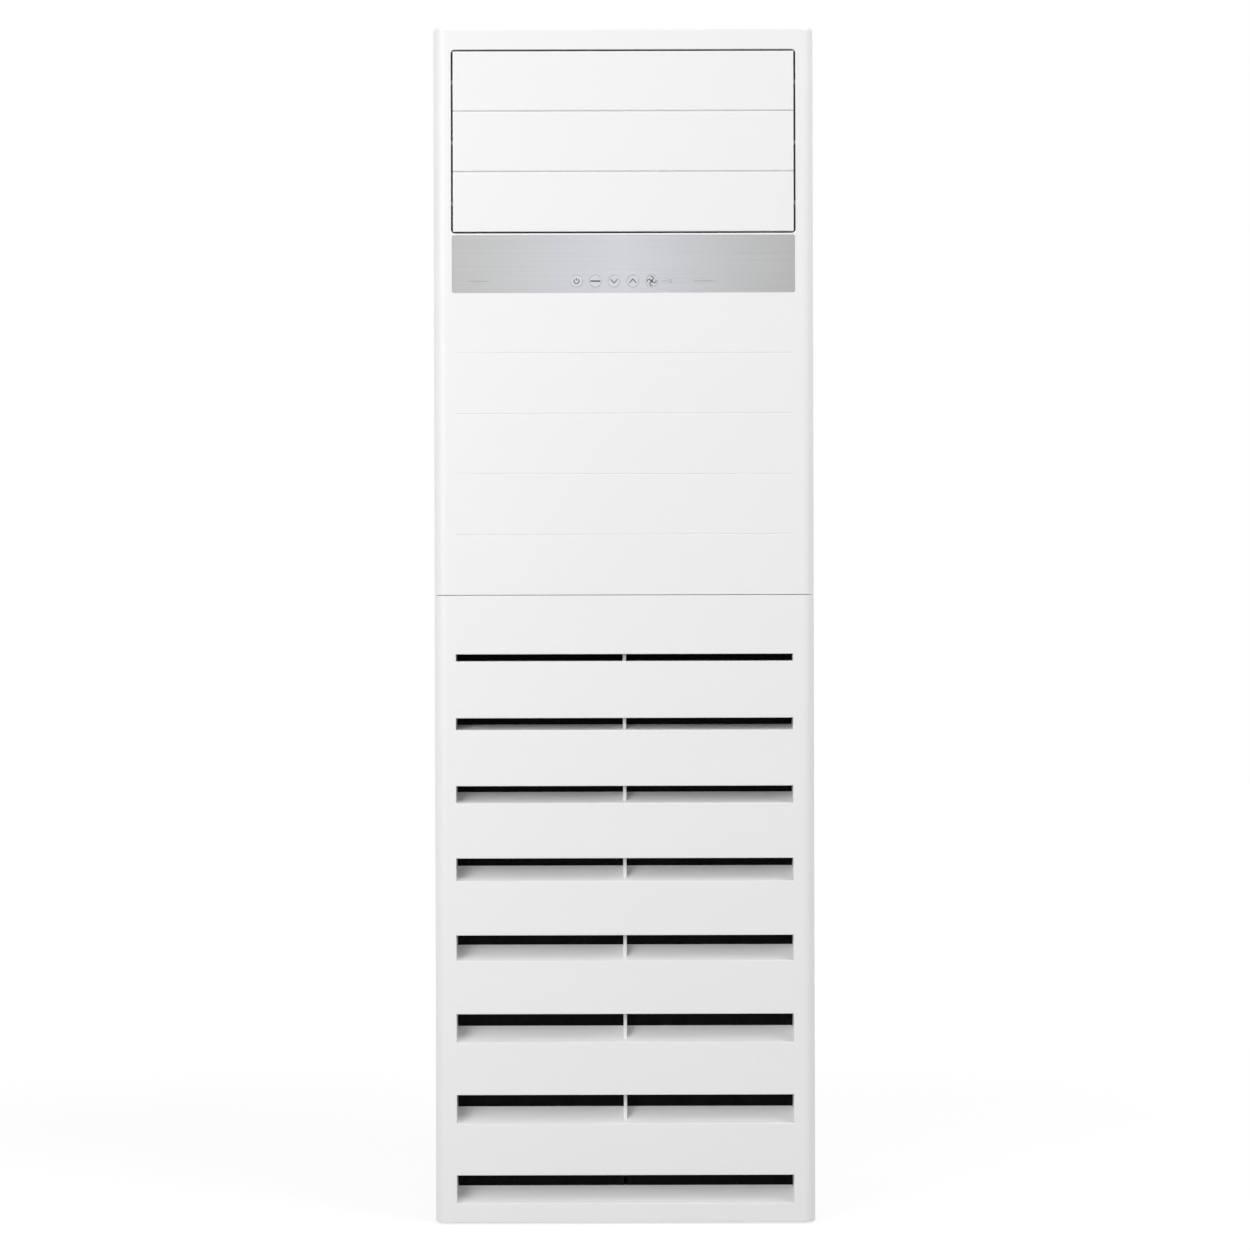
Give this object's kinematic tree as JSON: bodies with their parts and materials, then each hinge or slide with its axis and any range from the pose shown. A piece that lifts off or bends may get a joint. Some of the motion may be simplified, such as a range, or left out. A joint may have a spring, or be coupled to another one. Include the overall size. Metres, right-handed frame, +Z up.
{
  "type": "floor standing air conditioner",
  "caption": "Tall floor standing air conditioner: tilting louvre vanes over a silver control plate, slotted intake grille below, blower, coil and duct inside.",
  "frame": {"origin": "on the floor, under the middle of the cabinet's footprint", "axes": "+X to the right seen from the front, +Y to the back, +Z up; the front faces -Y"},
  "size_m": [0.584, 0.44, 1.84],
  "materials": {
    "white_shell": "fine satin moulded plastic",
    "white_steel": "white powder coat",
    "brushed_panel": "brushed silver sheet",
    "button_cap": "fine brushed silver",
    "zinc_sheet": "zinc coated steel",
    "screw_steel": "plated",
    "black_plastic": "matt moulded plastic",
    "filter_dark": "dark filter frame and mesh",
    "vane_fitting": "natural moulded plastic",
    "foam": "moulded bead foam",
    "fin_aluminium": "coated aluminium fins",
    "copper": "drawn copper tube",
    "brass_fitting": "turned brass",
    "motor_metal": "cast housing",
    "shaft_steel": "ground steel",
    "stepper_metal": "drawn can",
    "board": "circuit board",
    "rubber_black": "moulded rubber",
    "hose_grey": "drain hose"
  },
  "bodies": {
    "cabinet": {"base_pan": "zinc_sheet", "side_panel_left": "white_steel", "side_panel_right": "white_steel", "rear_panel": "zinc_sheet", "top_cover": "white_shell", "front_panel": "white_shell", "front_crossbar": "zinc_sheet", "fan_deck": "zinc_sheet", "front_partition": "zinc_sheet", "cabinet_screws": "screw_steel", "grille_hinge_brackets": "zinc_sheet", "scroll_wrap": "zinc_sheet", "scroll_side_plates": "zinc_sheet", "scroll_feet": "zinc_sheet", "bellmouth": "black_plastic", "motor_bracket": "zinc_sheet", "fan_motor": "motor_metal", "coil_fin_block": "fin_aluminium", "coil_end_plates": "zinc_sheet", "return_bends": "copper", "drain_pan": "black_plastic", "drain_pipe": "hose_grey", "gas_pipe": "copper", "liquid_pipe": "copper", "pipe_unions": "brass_fitting", "pipe_grommet": "rubber_black", "cable_gland": "black_plastic", "outlet_frame": "vane_fitting", "duct_liner": "foam", "vane_bushes": "vane_fitting", "vane_motor": "stepper_metal", "swing_motor": "stepper_metal", "control_plate": "brushed_panel", "display_board": "board", "control_box": "zinc_sheet", "control_box_cover": "zinc_sheet", "control_boards": "board"},
    "upper_vane": {"upper_vane": "white_shell"},
    "middle_vane": {"middle_vane": "white_shell"},
    "lower_vane": {"lower_vane": "white_shell"},
    "vane_link": {"vane_link": "vane_fitting"},
    "blower": {"fan_wheel": "black_plastic", "motor_shaft": "shaft_steel"},
    "intake_grille": {"intake_grille": "white_shell"},
    "filter_left": {"filter_left": "filter_dark"},
    "filter_right": {"filter_right": "filter_dark"},
    "deflector_tie_bar": {"deflector_tie_bar": "vane_fitting"},
    "swing_crank": {"swing_crank": "vane_fitting"},
    "deflector_1": {"deflector_1": "vane_fitting"},
    "deflector_2": {"deflector_2": "vane_fitting"},
    "deflector_3": {"deflector_3": "vane_fitting"},
    "deflector_4": {"deflector_4": "vane_fitting"},
    "deflector_5": {"deflector_5": "vane_fitting"},
    "deflector_6": {"deflector_6": "vane_fitting"},
    "deflector_7": {"deflector_7": "vane_fitting"},
    "power_button": {"power_button": "button_cap"},
    "mode_button": {"mode_button": "button_cap"},
    "down_button": {"down_button": "button_cap"},
    "up_button": {"up_button": "button_cap"},
    "fan_button": {"fan_button": "button_cap"}
  },
  "joints": [
    {"name": "vane_tilt", "type": "hinge", "parent": "cabinet", "child": "middle_vane", "pos_m": [0, -0.205, 1.661], "axis": [-1, 0, 0], "range_deg": [0, 90]},
    {"name": "upper_vane_tilt", "type": "hinge", "parent": "cabinet", "child": "upper_vane", "pos_m": [0, -0.205, 1.7538], "axis": [-1, 0, 0], "range_deg": [0, 90]},
    {"name": "lower_vane_tilt", "type": "hinge", "parent": "cabinet", "child": "lower_vane", "pos_m": [0, -0.205, 1.5682], "axis": [-1, 0, 0], "range_deg": [0, 90]},
    {"name": "vane_link_turn", "type": "hinge", "parent": "middle_vane", "child": "vane_link", "pos_m": [-0.26525, -0.19086, 1.67514], "axis": [1, 0, 0], "range_deg": [0, 90]},
    {"name": "deflector_swing", "type": "hinge", "parent": "cabinet", "child": "deflector_4", "pos_m": [0, -0.128, 1.797], "axis": [0, 0, 1], "range_deg": [-35, 35]},
    {"name": "deflector_1_swing", "type": "hinge", "parent": "cabinet", "child": "deflector_1", "pos_m": [-0.222, -0.128, 1.797], "axis": [0, 0, 1], "range_deg": [-35, 35]},
    {"name": "deflector_2_swing", "type": "hinge", "parent": "cabinet", "child": "deflector_2", "pos_m": [-0.148, -0.128, 1.797], "axis": [0, 0, 1], "range_deg": [-35, 35]},
    {"name": "deflector_3_swing", "type": "hinge", "parent": "cabinet", "child": "deflector_3", "pos_m": [-0.074, -0.128, 1.797], "axis": [0, 0, 1], "range_deg": [-35, 35]},
    {"name": "deflector_5_swing", "type": "hinge", "parent": "cabinet", "child": "deflector_5", "pos_m": [0.074, -0.128, 1.797], "axis": [0, 0, 1], "range_deg": [-35, 35]},
    {"name": "deflector_6_swing", "type": "hinge", "parent": "cabinet", "child": "deflector_6", "pos_m": [0.148, -0.128, 1.797], "axis": [0, 0, 1], "range_deg": [-35, 35]},
    {"name": "deflector_7_swing", "type": "hinge", "parent": "cabinet", "child": "deflector_7", "pos_m": [0.222, -0.128, 1.797], "axis": [0, 0, 1], "range_deg": [-35, 35]},
    {"name": "swing_crank_turn", "type": "hinge", "parent": "cabinet", "child": "swing_crank", "pos_m": [-0.185, -0.128, 1.8021], "axis": [0, 0, 1], "range_deg": [-35, 35]},
    {"name": "tie_bar_turn", "type": "hinge", "parent": "deflector_4", "child": "deflector_tie_bar", "pos_m": [0, -0.104, 1.799], "axis": [0, 0, -1], "range_deg": [-35, 35]},
    {"name": "fan_spin", "type": "hinge", "parent": "cabinet", "child": "blower", "pos_m": [-0.018, 0, 0.4], "axis": [0, -1, 0], "continuous": true},
    {"name": "grille_tilt", "type": "hinge", "parent": "cabinet", "child": "intake_grille", "pos_m": [0, -0.213, 0.015], "axis": [1, 0, 0], "range_deg": [0, 35]},
    {"name": "filter_left_lift", "type": "slide", "parent": "intake_grille", "child": "filter_left", "axis": [0, 0, 1], "range_m": [0, 0.04]},
    {"name": "filter_right_lift", "type": "slide", "parent": "intake_grille", "child": "filter_right", "axis": [0, 0, 1], "range_m": [0, 0.04]},
    {"name": "power_button_press", "type": "slide", "parent": "cabinet", "child": "power_button", "axis": [0, 1, 0], "range_m": [0, 0.0008], "stiffness_N_per_m": 500, "springref_m": -0.001},
    {"name": "mode_button_press", "type": "slide", "parent": "cabinet", "child": "mode_button", "axis": [0, 1, 0], "range_m": [0, 0.0008], "stiffness_N_per_m": 500, "springref_m": -0.001},
    {"name": "down_button_press", "type": "slide", "parent": "cabinet", "child": "down_button", "axis": [0, 1, 0], "range_m": [0, 0.0008], "stiffness_N_per_m": 500, "springref_m": -0.001},
    {"name": "up_button_press", "type": "slide", "parent": "cabinet", "child": "up_button", "axis": [0, 1, 0], "range_m": [0, 0.0008], "stiffness_N_per_m": 500, "springref_m": -0.001},
    {"name": "fan_button_press", "type": "slide", "parent": "cabinet", "child": "fan_button", "axis": [0, 1, 0], "range_m": [0, 0.0008], "stiffness_N_per_m": 500, "springref_m": -0.001}
  ],
  "couplings": [
    {"joint": "upper_vane_tilt", "follows": "vane_tilt", "ratio": 1},
    {"joint": "lower_vane_tilt", "follows": "vane_tilt", "ratio": 1},
    {"joint": "vane_link_turn", "follows": "vane_tilt", "ratio": 1},
    {"joint": "deflector_1_swing", "follows": "deflector_swing", "ratio": 1},
    {"joint": "deflector_2_swing", "follows": "deflector_swing", "ratio": 1},
    {"joint": "deflector_3_swing", "follows": "deflector_swing", "ratio": 1},
    {"joint": "deflector_5_swing", "follows": "deflector_swing", "ratio": 1},
    {"joint": "deflector_6_swing", "follows": "deflector_swing", "ratio": 1},
    {"joint": "deflector_7_swing", "follows": "deflector_swing", "ratio": 1},
    {"joint": "swing_crank_turn", "follows": "deflector_swing", "ratio": 1},
    {"joint": "tie_bar_turn", "follows": "deflector_swing", "ratio": 1}
  ]
}
